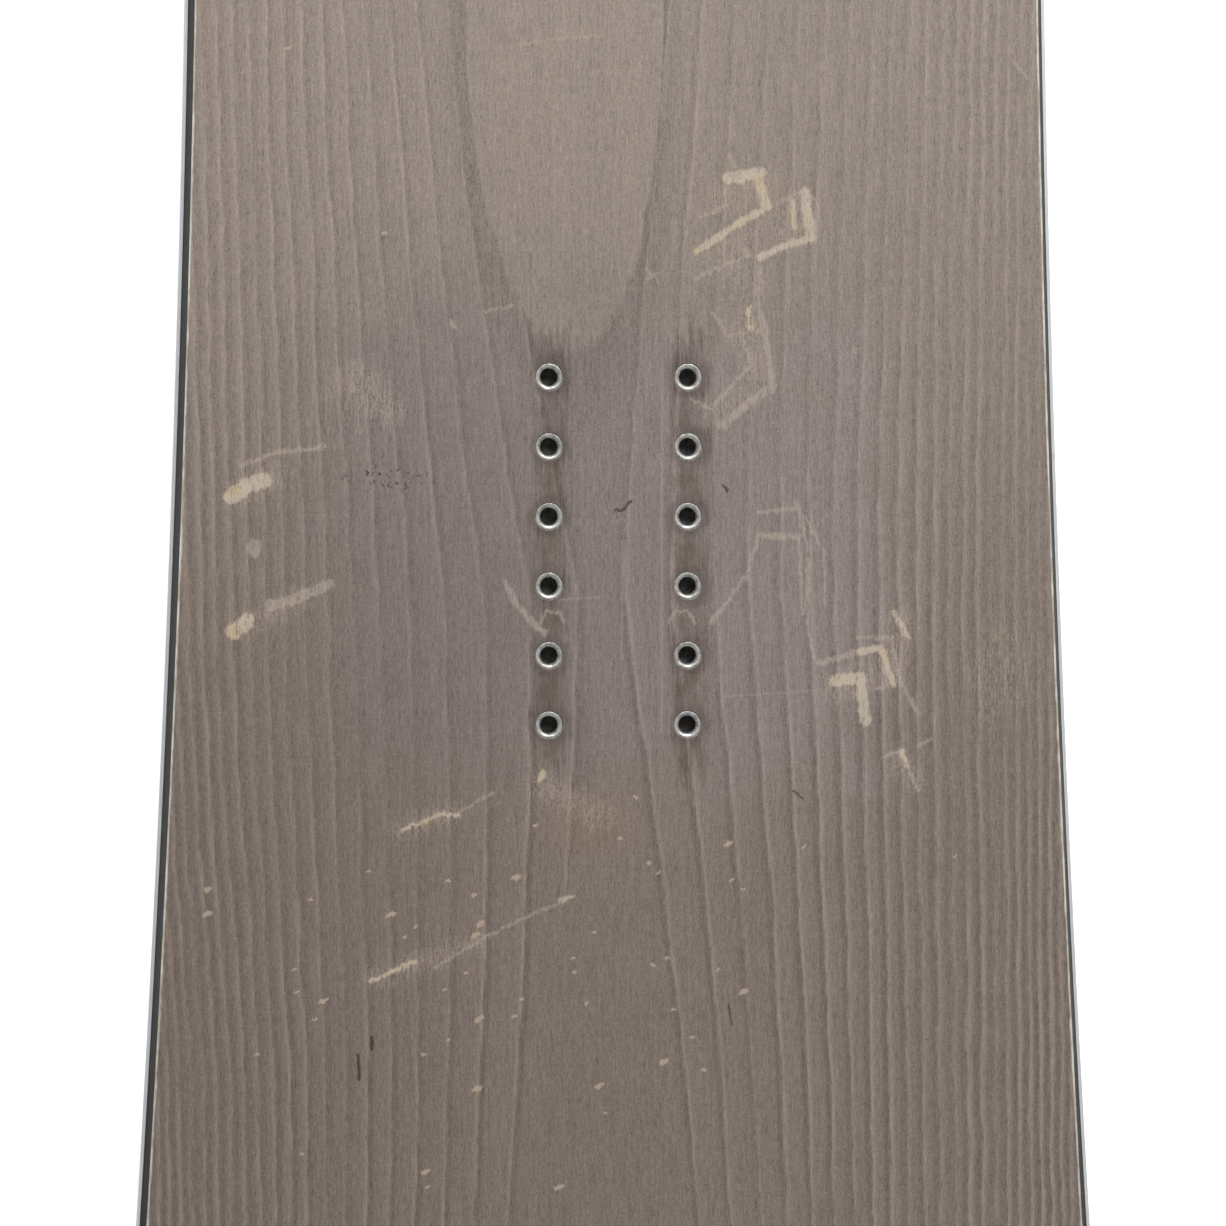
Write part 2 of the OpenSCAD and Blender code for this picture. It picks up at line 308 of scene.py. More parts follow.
class Shader:
    """One material and the node expressions that make it."""

    def __init__(self, name):
        self.material = bpy.data.materials.new(name)
        self.material.use_nodes = True
        self.tree = self.material.node_tree
        self.tree.nodes.clear()
        self.output = self.tree.nodes.new("ShaderNodeOutputMaterial")
        self.bsdf = self.tree.nodes.new("ShaderNodeBsdfPrincipled")
        self.tree.links.new(self.bsdf.outputs["BSDF"], self.output.inputs["Surface"])
        self.object_coords = None

    def put(self, socket, value):
        if isinstance(value, Value):
            self.tree.links.new(value.socket, socket)
        else:
            socket.default_value = value

    def node(self, kind, inputs, output=0, **settings):
        node = self.tree.nodes.new("ShaderNode" + kind)
        for key, setting in settings.items():
            setattr(node, key, setting)
        for key, value in inputs.items():
            self.put(node.inputs[key], value)
        return Value(self, node.outputs[output])

    def math(self, operation, *values, clamp=False):
        return self.node("Math", dict(enumerate(values)), operation=operation, use_clamp=clamp)

    def vector(self, operation, *values, output="Vector"):
        return self.node("VectorMath", dict(enumerate(values)), output, operation=operation)

    def place(self):
        """The point's place in the row's frame, in millimetres."""
        if self.object_coords is None:
            coords = self.node("TexCoord", {}, "Object")
            self.object_coords = self.vector("MULTIPLY", coords, (1000, 1000, 1000))
        return self.object_coords

    def split(self, vector):
        node = self.tree.nodes.new("ShaderNodeSeparateXYZ")
        self.put(node.inputs[0], vector)
        return [Value(self, socket) for socket in node.outputs]

    def join(self, x, y, z=0.0):
        return self.node("CombineXYZ", {0: x, 1: y, 2: z})

    def stretched_distance(self, x, y, x_scale, y_scale):
        """Length of (x, y) after each is scaled, so that its level lines are ellipses."""
        scaled = self.vector("MULTIPLY", self.join(x, y), (x_scale, y_scale, 0))
        return self.vector("LENGTH", scaled, output="Value")

    def noise(self, where, scale, detail=2.0, roughness=0.5):
        """Noise from 0 to 1, about 0.5, with features about 1 / scale millimetres across."""
        return self.node("TexNoise", {"Vector": where, "Scale": scale, "Detail": detail,
                                      "Roughness": roughness}, "Fac")

    def fade(self, value, start, end, low=0.0, high=1.0):
        """Smoothly from low, where value is start, to high, where it is end."""
        return self.node("MapRange", {"Value": value, "From Min": start, "From Max": end,
                                      "To Min": low, "To Max": high},
                         interpolation_type="SMOOTHSTEP")

    def mix(self, share, first, second):
        """Colours blended by share."""
        node = self.tree.nodes.new("ShaderNodeMix")
        node.data_type = "RGBA"
        for key, value in ((0, share), (6, first), (7, second)):
            self.put(node.inputs[key], value)
        return Value(self, node.outputs[2])

    def scaled(self, colour, factor):
        """A colour made lighter or darker by a factor."""
        return self.node("VectorMath", {0: colour, "Scale": factor}, operation="SCALE")

    def bump(self, height, distance, strength=1.0):
        return self.node("Bump", {"Height": height, "Distance": distance, "Strength": strength},
                         "Normal")

    def finish(self, **inputs):
        """Sets the surface shader's own inputs and returns the material."""
        for key, value in inputs.items():
            name = key.replace("_", " ").title().replace("Ior", "IOR")
            self.put(self.bsdf.inputs[name], value)
        return self.material


def tone(red, green, blue):
    """A display colour, 0 to 255, as linear RGBA."""
    def linear(level):
        level /= 255
        return level / 12.92 if level <= 0.04045 else ((level + 0.055) / 1.055) ** 2.4
    return (linear(red), linear(green), linear(blue), 1.0)


# ---- Materials ----

REAR_Y = float(np.mean([m["pos_m"][1] for m in frame["record"]["mounts"]
                        if m["name"].startswith("rear")]))
FRONT_Y = float(np.mean([m["pos_m"][1] for m in frame["record"]["mounts"]
                         if m["name"].startswith("front")]))

# Wear on the deck: places read off the zoomed photo and turned into millimetres from
# the middle of the rear insert pack, to the nearest half. Each line is a width and the points
# it runs through.
BARE_WOOD = [
    (3.4, (31.5, 107), (40.5, 108.5)),
    (2.8, (40, 107), (42.5, 99.5)),
    (2.0, (41.5, 98), (34, 94), (22.5, 86)),
    (2.8, (53.5, 103), (55.5, 90)),
    (1.2, (50, 100.5), (50.5, 93)),
    (2.0, (56, 90), (48.5, 88), (41, 84.5)),
    (1.7, (37.5, 69.5), (38, 64.5)),
    (1.4, (79.5, -17.5), (84, -25)),
    (2.0, (70, -29), (76, -28), (79.5, -38)),
    (3.2, (62, -37.5), (70, -36.5), (71.5, -49)),
    (1.6, (82, -57.5), (83.5, -62)),
    (4.2, (-111, 15.5), (-106, 19), (-101.5, 20.5)),
    (4.2, (-110.5, -23), (-106.5, -20)),
    (1.0, (-62, -80), (-51, -75.5), (-46, -76)),
    (1.2, (-71, -123.5), (-58.5, -118)),
    (1.6, (-22.5, -65.5), (-21.5, -64)),
    (0.7, (-17, -100.5), (-13, -99.5)),
]
LIGHT_SCRATCHES = [
    (0.6, (31, 107), (31, 100.5)),
    (0.9, (32, 113.5), (33.5, 110)),
    (1.0, (23.5, 96), (31, 99)),
    (0.7, (44, 99), (52.5, 103.5), (56.5, 101.5)),
    (0.6, (57, 101.5), (57, 90)),
    (0.7, (30.5, 89.5), (30, 76)),
    (0.8, (40.5, 84), (40.5, 70.5)),
    (1.0, (22, 78.5), (30, 82), (38, 85)),
    (2.0, (36.5, 86.5), (37, 85.5)),
    (0.6, (8, 81), (11.5, 77)),
    (0.6, (8.5, 78), (12, 80)),
    (0.7, (27, 68.5), (31, 62.5)),
    (0.8, (32, 62), (41, 63.5)),
    (1.8, (41, 68.5), (44.5, 48)),
    (2.4, (44.5, 47.5), (38, 43), (30, 36)),
    (0.9, (35, 62.5), (38.5, 54), (27.5, 42)),
    (0.7, (21, 43.5), (27, 40.5)),
    (1.5, (40, 4.5), (52, 4)),
    (1.0, (40, 11), (52, 12.5), (54.5, 1), (54.5, -18), (56.5, -31)),
    (0.8, (52, 4), (53.5, -18)),
    (0.6, (51, 14.5), (59.5, 0), (59.5, -16)),
    (0.6, (37, -8), (39.5, 1)),
    (1.8, (58, -32.5), (70, -29)),
    (1.0, (69, -25), (79, -25), (81.5, -37), (87, -47)),
    (0.9, (76, -29), (78, -39), (74.5, -40)),
    (1.0, (77, -59.5), (82.5, -57.5), (83.5, -62), (87, -69.5)),
    (0.8, (87, -56.5), (90.5, -54)),
    (1.2, (-108, 24.5), (-99, 28), (-84.5, 30)),
    (4.0, (-104.5, 1.5), (-104.5, 0.5)),
    (3.0, (-100, -15.5), (-94, -14), (-83, -9.5)),
    (0.7, (-46, -75), (-36, -69.5)),
    (0.7, (-53, -120), (-38, -111), (-27, -105.5), (-15, -100.5)),
    (0.6, (-28.5, 145), (-15, 147), (-5, 147.5)),
    (0.6, (114, 141), (118, 136.5)),
    (1.6, (68, 58), (68, 57.5)),
    (0.6, (-38.5, 68.5), (-30.5, 70.5)),
    (1.5, (-48, 65.5), (-47.5, 64.5)),
    (1.6, (-32.5, -9), (-30, -14.5), (-25, -20), (-21.5, -23.5)),
    (1.1, (40.5, 5), (37.5, -5.5), (31.5, -14.5), (26.5, -20.5)),
    (0.8, (-22.5, -20.5), (-21, -17.5), (-17, -17.5), (-15, -20.5)),
    (0.8, (14.5, -20.5), (16, -17.5), (20, -17.5), (22, -20.5)),
]
# Broad, faint rubs round the deeper marks
RUBS = [
    (9.0, (30, 102), (41, 104)),
    (6.0, (40, 93), (26, 86)),
    (9.0, (46, 92), (52, 98)),
    (7.0, (33, 84), (39, 76)),
    (8.0, (36, 64), (40, 52)),
    (7.0, (36, 44), (28, 40)),
    (6.0, (82, -20), (80, -36)),
    (9.0, (62, -40), (78, -34)),
    (6.0, (82, -60), (85, -66)),
    (7.0, (-109, 16), (-100, 22)),
    (6.0, (-108, -22), (-92, -14)),
    (9.0, (-76, 50), (-66, 40)),
    (5.0, (-62, -80), (-48, -75)),
    (5.0, (-70, -123), (-40, -112)),
    (8.0, (-22, -68), (-6, -76)),
]
PRINTED_LINES = [
    (0.5, (1, 3), (1, -31)),
    (0.4, (30, -42), (61, -40)),
    (0.4, (-1.5, 8), (1, 9.5), (3, 8), (1.5, 6)),
    (0.6, (12.5, 52), (12.5, -52)),
    (0.4, (-17, -14), (-4, -13)),
]
DARK_NICKS = [
    (1.0, (-75, -145), (-74.5, -152)),
    (0.8, (-71, -140), (-71, -143.5)),
    (0.3, (38, 67.5), (38, 65.5)),
    (0.5, (50.5, -69.5), (53.5, -71.5)),
    (0.5, (32, -131), (33, -137)),
    (0.8, (-1, 11.5), (1.5, 12), (3.5, 14.5)),
    (0.7, (30, 19), (31.5, 17.5)),
]
# Small chips through the lacquer: the middle of each, and its length
CHIPS = [
    (-118, -97, 3), (-118, -104, 3), (-65.5, -104.5, 3), (-29.5, -94, 3), (-40, -107.5, 3),
    (-85, -129.5, 3), (-40, -135, 3), (-40.5, -155, 3), (13.5, -147.5, 3), (36.5, -127.5, 3),
    (-55.5, -179, 3), (-17, -184, 3), (-41, -110.5, 3), (32, -84.5, 3), (-5.5, -154.5, 3),
    (-88.5, -100, 1.6), (-7, -110, 1.6), (-55, -183.5, 1.6), (-93, -120, 1.6),
    (-92.5, -126.5, 1.6), (-87.5, -134.5, 1.6), (-58.5, -108, 1.6), (-61.5, -111, 1.6),
    (-49, -95, 1.6), (-41.5, -99, 1.6), (-44, -121.5, 1.6), (-50, -126, 1.6),
    (-13, -117.5, 1.6), (-12.5, -121.5, 1.6), (-28, -129, 1.6), (-30, -134, 1.6),
    (-49, -141, 1.6), (-56, -145, 1.6), (-104, -144.5, 1.6), (-91, -173.5, 1.6),
    (-3.5, -162.5, 1.6), (-9, -130.5, 1.6), (9, -90, 1.6), (11.5, -93, 1.6), (0.5, -82.5, 1.6),
    (33, -95, 1.6), (36.5, -97.5, 1.6), (54, -85.5, 1.6), (14.5, -117.5, 1.6),
    (10, -119.5, 1.6), (29, -121, 1.6), (16, -132.5, 1.6), (21.5, -140.5, 1.6), (25, -150, 1.6),
    (97.5, -88.5, 1.6), (-67, 91, 1.6), (-94.5, 143.5, 1.6), (-24, -79, 1.6), (5, -71, 1.6),
    (-72, -92, 1.6),
]


# The deck's shader would be too long for Cycles with every mark in it, so the deck has a
# material for each zone, which holds the marks that come near that zone.
ZONE_X = (-45.0, 10.0)
ZONE_Y = (-200.0, -145.0, -110.0, -65.0, -20.0, 38.0, 66.0, 88.0, 160.0)
FAR_MM = 1000.0
MARK_REACH = 7.0


def zone_of(x, y):
    """Column and row of the zone that holds a point, in millimetres from the rear pack."""
    return np.searchsorted(ZONE_X, x), np.searchsorted(ZONE_Y, y)


def strokes_near(lines, zone):
    """Width, start and end of each straight stroke that reaches into a zone."""
    column, row = zone
    x_edges, y_edges = (-FAR_MM, *ZONE_X, FAR_MM), (-FAR_MM, *ZONE_Y, FAR_MM)
    low = np.array([x_edges[column], y_edges[row]]) - MARK_REACH
    high = np.array([x_edges[column + 1], y_edges[row + 1]]) + MARK_REACH
    strokes = [(line[0], start, end) for line in lines for start, end in zip(line[1:], line[2:])]
    return [stroke for stroke in strokes if np.all(np.maximum(*stroke[1:]) > low)
            and np.all(np.minimum(*stroke[1:]) < high)]


def nearest_chip(shader, where, chips, zone):
    """1 in the chips of a zone: ellipses that lean a little, warped by the noise in where."""
    lean = math.radians(20)
    turn = np.array([[math.cos(lean), math.sin(lean)],
                     [-2.0 * math.sin(lean), 2.0 * math.cos(lean)]])
    x, y, _ = shader.split(where)
    turned = shader.join(x * turn[0, 0] + y * turn[0, 1], x * turn[1, 0] + y * turn[1, 1])
    nearest = shader.math("ADD", FAR_MM, 0.0)
    for cx, cy, length in chips:
        if strokes_near([(length, (cx, cy), (cx, cy))], zone):
            gap = shader.vector("DISTANCE", turned, (*(turn @ (cx, cy)), 0), output="Value")
            nearest = shader.math("MINIMUM", nearest, gap - length / 2)
    return shader.fade(nearest, 0.3, -0.3)


def has_marks(zone):
    """Whether any wear reaches into a zone."""
    chips = [(length, (x, y), (x, y)) for x, y, length in CHIPS]
    return any(strokes_near(lines, zone) for lines in
               (BARE_WOOD, LIGHT_SCRATCHES, RUBS, PRINTED_LINES, DARK_NICKS, chips))


def nearest_stroke(shader, where, strokes, soft):
    """1 on the strokes and 0 away from them, fading over soft millimetres."""
    nearest = None
    for width, start, end in strokes:
        along = np.subtract(end, start)
        share = along / (along @ along)
        offset = shader.vector("SUBTRACT", where, (*start, 0))
        part = shader.vector("DOT_PRODUCT", offset, (*share, 0), output="Value")
        part = shader.math("ADD", part, 0.0, clamp=True)
        foot = shader.scaled((*along, 0), part)
        gap = shader.vector("DISTANCE", offset, foot, output="Value") - width / 2
        nearest = gap if nearest is None else shader.math("MINIMUM", nearest, gap)
    return shader.fade(nearest, soft, -soft) if strokes else shader.math("ADD", 0.0, 0.0)


def ring_lines(shader, x, y, wobble):
    """Growth rings of a flat-sawn leaf: light and dark lines, and the plain crowns between them.

    x and y are millimetres from the rear pack. The rings are level lines of a saddle, so
    they open into a crown towards the nose and another towards the tail.
    """
    swing = shader.fade(shader.math("ABSOLUTE", x + 9), 25, 95, 1.0, 0.15)
    axis = -9 - shader.math("TANH", (y + 20) / 110) * swing * 7.5
    tail_lean = shader.fade(y, -10, -190) * shader.fade(x, -30, -110) * 9
    from_axis = x - axis - tail_lean
    away = shader.math("ABSOLUTE", from_axis)
    noseward = shader.math("MINIMUM", shader.math("MAXIMUM", (y + 14) / 172, 0.0), 1.5)
    tailward = shader.math("MINIMUM", shader.math("MAXIMUM", (-14 - y) / 180, 0.0), 1.5)
    spread = 40 * noseward**1.3 + 27 * tailward**1.3
    level = away - spread * shader.math("EXPONENT", away / -41.6) + wobble * 3.5
    level = shader.math("MAXIMUM", level, 0.0)
    side = shader.math("SIGN", from_axis)
    count = level * 0.0697 + level**3 * 4.8e-6 + side * 0.19
    density = 0.0697 + level**2 * 1.44e-5
    part = shader.math("FRACT", count)
    since, until = part / density, (1 - part) / density
    light = shader.math("MAXIMUM", shader.fade(since, 1.5, 0.1), shader.fade(until, 0.7, 0.0))
    dark = shader.fade(shader.math("ABSOLUTE", until - 1.5), 1.6, 0.2)
    ramp = part - 0.5

    teeth = (shader.noise(shader.join(x * 0.3, 0.0, 7.0), 1.0, 3.0, 0.7) - 0.5) * 22
    nose_part = shader.math("MAXIMUM", 158 - y + teeth, 0.0) / 101
    nose_crown = (from_axis / 28.7) ** 2 + nose_part**2
    tail_part = shader.math("MAXIMUM", -71.4 - y + teeth, 0.01) / 122
    tail_crown = away / (23.5 * tail_part**0.5)
    in_nose = shader.fade(nose_crown, 1.03, 0.97)
    in_tail = shader.fade(tail_crown, 1.04, 0.96)
    crown = shader.math("MAXIMUM", in_nose, in_tail)
    rim = shader.fade(nose_crown, 1.7, 1.0) * (1 - in_nose)
    return light, dark, ramp, crown, in_nose, rim


def deck_material(zone):
    """Grey-brown stained veneer under a satin lacquer, with the marks of one zone."""
    s = Shader("stained_veneer")

    def near(lines):
        return strokes_near(lines, zone)

    place = s.place()
    x, y, _ = s.split(s.vector("SUBTRACT", place, (0, REAR_Y / MM, 0)))

    slow = s.noise(s.join(x * 0.02, y * 0.008), 1.0, 2.0) - 0.5
    wobble = s.noise(s.join(x * 0.06, y * 0.03, 3.0), 1.0, 4.0, 0.6) - 0.5
    fibre = s.noise(s.join(x * 1.0 + y * 0.01, y * 0.07), 1.0, 4.0, 0.7) - 0.5
    hair = s.noise(s.join(x * 2.2 + y * 0.02, y * 0.42, 2.0), 1.0, 2.0, 0.7) - 0.5
    grit = s.noise(s.join(x * 1.9, y * 1.5, 1.0), 1.0, 2.0, 0.8) - 0.5
    pores = s.fade(s.noise(s.join(x * 1.5 + y * 0.02, y * 0.16, 5.0), 1.0, 2.0), 0.60, 0.70)
    band = s.noise(s.join(x * 0.16 + wobble, y * 0.004, 9.0), 1.0, 2.0) - 0.5
    light, dark, ramp, crown, in_nose, crown_rim = ring_lines(s, x, y, wobble + fibre * 0.45)

    # Ring contrast grows towards the edges and the tail
    outer = s.fade(s.math("ABSOLUTE", x), 20, 105, 0.80, 0.82)
    tail_gain = s.fade(y, 90, -150, 0.75, 1.3)
    alive = s.fade(slow + band * 0.9 + fibre * 0.5, -0.4, 0.3, 0.1, 1.4)
    rings = (light * 0.22 - dark * 0.16 - ramp * 0.08) * outer * tail_gain * alive
    rings = rings * (1 - crown)
    grain = fibre * 0.75 + hair * 0.95 + grit * 1.0 - pores * 0.18 + band * 0.14
    shade = 1.02 + rings + grain + in_nose * 0.05 - crown_rim * 0.16 + slow * 0.12

    # Darker towards the tail, lighter towards the nose and a little lighter to the right
    wood = s.mix(s.fade(y, -90, 170), tone(126, 113, 104), tone(150, 136, 126))
    wood = s.mix(s.fade(x, -110, 110, 0.0, 0.2), wood, tone(150, 137, 127))

    # Painted reflection: a violet-grey sheen over the middle of the deck, put into the colour with
    # ragged edges
    reflection_edge = s.noise(s.join(x * 0.04, y * 0.05, 2.0), 1.0, 4.0, 0.6) * 80 + ramp * 9
    painted_reflection = s.fade(s.math("ABSOLUTE", x + 4) + reflection_edge, 148, 92)
    painted_reflection = painted_reflection * s.fade(s.math("ABSOLUTE", y - 6) + reflection_edge, 138, 74)
    painted_reflection = painted_reflection * s.fade(band + slow, -0.3, 0.1, 0.55, 1.0)
    reflection_violet = s.mix(s.fade(x, -40, 60), tone(124, 114, 113), tone(145, 135, 133))
    wood = s.mix(painted_reflection * 0.55, wood, reflection_violet)

    near_column = s.math("ABSOLUTE", s.math("ABSOLUTE", x - 0.4) - 20)
    rub = s.fade(near_column + fibre * 9 + wobble * 6, 7.0, 1.5)
    rub = rub * s.fade(s.math("ABSOLUTE", y + 2) + fibre * 40, 70, 54)
    from_row = s.math("ABSOLUTE", s.math("FRACT", (y + 70) / 20) * 20 - 10)
    patchy = s.noise(s.join(x * 0.12, y * 0.09, 12.0), 1.0, 3.0, 0.6)
    rub = rub * s.fade(patchy + from_row * 0.010, 0.66, 0.40, 0.4, 1.0)
    wood = s.mix(rub * 0.85, wood, tone(101, 86, 76))
    # The deck is darker in a ring round each insert hole of the rear pack
    from_insert = (near_column**2 + (10 - from_row) ** 2) ** 0.5
    darker_round_holes = s.fade(from_insert + wobble * 5 + fibre * 3, 7.5, 4.0)
    darker_round_holes = darker_round_holes * s.fade(s.math("ABSOLUTE", y), 60, 58)
    wood = s.mix(darker_round_holes * 0.5, wood, tone(84, 74, 70))
    brown_spot = s.stretched_distance(x + 8, y + 78, 1, 1.5)
    wood = s.mix(s.fade(brown_spot + fibre * 14, 22, 4, 0.0, 0.3), wood, tone(142, 118, 100))
    wood = s.scaled(wood, shade)

    # Wear: the edges of each mark break up along the fibres
    drift_x = (s.noise(s.join(x * 0.55, y * 0.3), 1.0, 4.0, 0.7) - 0.5) * 3.2
    drift_y = (s.noise(s.join(x * 0.7, y * 0.25, 4.0), 1.0, 3.0, 0.7) - 0.5) * 3.6
    worn = s.join(x + drift_x, y + drift_y + hair * 0.8)
    streaks = s.fade(fibre + hair + grit * 0.6, -0.32, 0.08, 0.35, 1.0)
    bare = nearest_stroke(s, worn, near(BARE_WOOD), 0.5) * streaks
    scratch = nearest_stroke(s, worn, near(LIGHT_SCRATCHES), 0.5) * streaks
    rubbed = nearest_stroke(s, worn, near(RUBS), 3.0)
    rubbed = rubbed * s.fade(fibre + hair + grit, -0.2, 0.2)
    printed = nearest_stroke(s, s.join(x + drift_x * 0.2, y), near(PRINTED_LINES), 0.4)
    nick = nearest_stroke(s, s.join(x + drift_x * 0.4, y + drift_y), near(DARK_NICKS), 0.35)
    chips = nearest_chip(s, s.join(x + drift_x * 0.9, y + drift_y * 0.9), CHIPS, zone)
    freckle = s.noise(s.join(x, y, 4.0), 0.55, 2.0, 0.7)
    cluster = s.stretched_distance(x + 67, y - 21, 0.3, 1)
    freckles = s.fade(freckle, 0.56, 0.62) * s.fade(cluster, 5.0, 2.0)
    dust = s.fade(s.noise(s.join(x * 0.6, y * 0.6, 8.0), 1.0, 2.0, 0.75), 0.735, 0.77)
    edge_rub = s.stretched_distance(x - 112, y + 34, 1.2, 0.8)
    cloud = s.stretched_distance(x + 77, y - 40, 0.9, 1)
    fuzz = s.math("MAXIMUM", s.fade(edge_rub, 17, 6), s.fade(cloud, 14, 4) * 0.6)
    fuzz = fuzz * s.fade(fibre + hair, -0.05, 0.16)

    yellow = s.fade(s.noise(s.join(x * 0.10, y * 0.10, 6.0), 1.0, 1.0), 0.50, 0.62)
    cream = s.mix(yellow, tone(202, 187, 168), tone(203, 184, 153))
    colour = s.mix(printed * 0.4, wood, tone(168, 156, 153))
    colour = s.mix(fuzz * 0.32, colour, tone(178, 161, 143))
    colour = s.mix(rubbed * 0.42, colour, tone(180, 162, 148))
    colour = s.mix(scratch * 0.50, colour, tone(190, 174, 160))
    colour = s.mix(bare * 0.85, colour, cream)
    colour = s.mix(chips * 0.75, colour, tone(190, 169, 149))
    colour = s.mix(dust * 0.35, colour, tone(180, 166, 152))
    colour = s.mix(s.math("MAXIMUM", nick, freckles) * 0.85, colour, tone(52, 43, 41))

    worn_off = s.math("MAXIMUM", bare, s.math("MAXIMUM", scratch, chips))
    height = grain * 0.4
    roughness = s.fade(worn_off, 0.0, 1.0, 0.46, 0.68) + fibre * 0.08
    return s.finish(base_color=colour, roughness=roughness, specular_ior_level=0.35,
                    normal=s.bump(height, 0.00012, 0.6))


def raw_edge_material():
    """The veneer's cut edge, bleached and chipped."""
    s = Shader("raw_veneer_edge")
    x, y, z = s.split(s.place())
    dirt = s.noise(s.join(x * 0.6, y * 0.35, z), 1.0, 4.0, 0.7)
    fine = s.noise(s.join(x * 3, y * 1.4, z * 5), 1.0, 2.0, 0.6) - 0.5
    colour = s.mix(s.fade(dirt, 0.35, 0.62), tone(158, 140, 122), tone(206, 196, 182))
    return s.finish(base_color=s.scaled(colour, 1 + fine * 0.35), roughness=0.7,
                    normal=s.bump(fine, 0.0002, 0.6))


def laminate_material():
    """Glass fibre cloth in clear resin, seen at the rim."""
    s = Shader("glass_cloth")
    x, y, z = s.split(s.place())
    warp = s.math("SINE", (x + y) * 4.2)
    weft = s.math("SINE", (x - y) * 4.2)
    weave = warp * weft
    milky = s.noise(s.join(x * 0.5, y * 0.12, z), 1.0, 4.0, 0.65)
    colour = s.mix(s.fade(milky, 0.35, 0.65), tone(176, 166, 150), tone(222, 218, 208))
    return s.finish(base_color=s.scaled(colour, 1 + weave * 0.07), roughness=0.42,
                    normal=s.bump(weave, 0.0001, 0.5))


def sidewall_material():
    """Black ABS, planed along its length and scuffed grey."""
    s = Shader("black_sidewall")
    x, y, z = s.split(s.place())
    planed = s.noise(s.join(x * 1.2, y * 0.02, z * 3.0), 1.0, 4.0, 0.65) - 0.5
    scuff = s.fade(s.noise(s.join(x * 0.8, y * 0.10, z * 1.5), 1.0, 4.0, 0.7), 0.55, 0.72)
    speck = s.noise(s.join(x * 2, y * 2, z * 2), 1.0, 2.0, 0.6) - 0.5
    colour = s.scaled(s.mix(scuff * 0.45, tone(26, 27, 29), tone(84, 86, 88)),
                      1 + planed * 0.5 + speck * 0.25)
    return s.finish(base_color=colour, roughness=s.fade(scuff, 0, 1, 0.55, 0.75),
                    specular_ior_level=0.12, normal=s.bump(planed + speck * 0.5, 0.0003, 0.5))


def edge_steel_material():
    """Ground steel with fine lines along the edge and a little rust."""
    s = Shader("ground_edge_steel")
    x, y, z = s.split(s.place())
    lines = s.noise(s.join(x * 2.5, y * 0.05, z * 7.0), 1.0, 3.0, 0.7) - 0.5
    rust = s.fade(s.noise(s.join(x * 0.35, y * 0.08, z * 0.8), 1.0, 4.0, 0.7), 0.60, 0.76)
    colour = s.mix(rust * 0.4, tone(222, 224, 227), tone(140, 112, 90))
    return s.finish(base_color=s.scaled(colour, 1 + lines * 0.35), metallic=0.35,
                    roughness=s.fade(rust, 0, 1, 0.34, 0.7) + lines * 0.15,
                    normal=s.bump(lines, 0.0001, 0.4))


def insert_steel_material():
    """Turned stainless steel, bright at the mouth, with painted shade that darkens it down the thread,
    where it is also duller.
    """
    s = Shader("turned_insert_steel")
    x, y, z = s.split(s.place())
    turned = s.noise(s.join(x * 5, y * 5, z * 24), 1.0, 2.0, 0.6) - 0.5
    stain = s.noise(s.join(x * 0.7, y * 0.7, z), 1.0, 3.0, 0.6)
    # Painted shade: the steel gets darker with depth down the bore
    painted_bore_shade = s.fade(z, 10.5, 7.5)
    steel = s.mix(s.fade(stain, 0.4, 0.65), tone(206, 206, 203), tone(164, 162, 156))
    colour = s.mix(painted_bore_shade * 0.88, steel, tone(52, 50, 46))
    return s.finish(base_color=s.scaled(colour, 1 + turned * 0.2), metallic=0.75,
                    roughness=s.fade(stain, 0.3, 0.7, 0.32, 0.44) + painted_bore_shade * 0.2,
                    normal=s.bump(turned, 0.00005, 0.4))


def base_material():
    """Black sintered base with a fine stone-ground structure and a few scratches."""
    s = Shader("ground_black_base")
    x, y, _ = s.split(s.place())
    grind = s.noise(s.join(x * 4.0 + y * 0.25, y * 0.03), 1.0, 3.0, 0.6) - 0.5
    cross = s.noise(s.join(x * 3.0 - y * 0.4, y * 0.04, 3.0), 1.0, 2.0, 0.6) - 0.5
    cloud = s.noise(s.join(x * 0.03, y * 0.012), 1.0, 4.0, 0.6)
    scratch = s.fade(s.noise(s.join(x * 1.1 + y * 0.05, y * 0.008, 5.0), 1.0, 1.0), 0.71, 0.74)
    dry = s.fade(s.math("ABSOLUTE", x), 105, 138) * s.fade(cloud, 0.35, 0.6)
    colour = s.mix(s.fade(cloud, 0.3, 0.7), tone(33, 34, 37), tone(47, 48, 51))
    colour = s.mix(dry * 0.5, colour, tone(86, 87, 90))
    colour = s.mix(scratch * 0.5, colour, tone(120, 121, 124))
    structure = grind + cross * 0.6
    return s.finish(base_color=s.scaled(colour, 1 + structure * 0.5),
                    roughness=s.fade(cloud, 0.3, 0.7, 0.34, 0.5) + dry * 0.15,
                    normal=s.bump(structure - scratch, 0.00012, 0.6))


def core_wood_material(name, early, late):
    """Planed core timber, lengthways grain."""
    s = Shader(name)
    x, y, z = s.split(s.place())
    warp = s.noise(s.join(x * 0.1, y * 0.01, z * 0.2), 1.0, 3.0) * 14
    ring = s.math("SINE", z * 1.4 + x * 0.5 + warp)
    fibre = s.noise(s.join(x * 2, y * 0.06, z * 2), 1.0, 3.0, 0.65) - 0.5
    colour = s.mix(s.fade(ring, -0.6, 0.9), early, late)
    return s.finish(base_color=s.scaled(colour, 1 + fibre * 0.5), roughness=0.62,
                    normal=s.bump(fibre, 0.0001, 0.5))


def plastic_material(name, dark, pale, roughness):
    """Plain sheet plastic or rubber with a fine moulded texture."""
    s = Shader(name)
    place = s.place()
    fine = s.noise(place, 2.5, 3.0, 0.6)
    broad = s.noise(place, 0.06, 3.0, 0.6)
    colour = s.mix(s.fade(fine * 0.5 + broad * 0.5, 0.35, 0.65), dark, pale)
    return s.finish(base_color=colour, roughness=roughness, normal=s.bump(fine, 0.0001, 0.4))


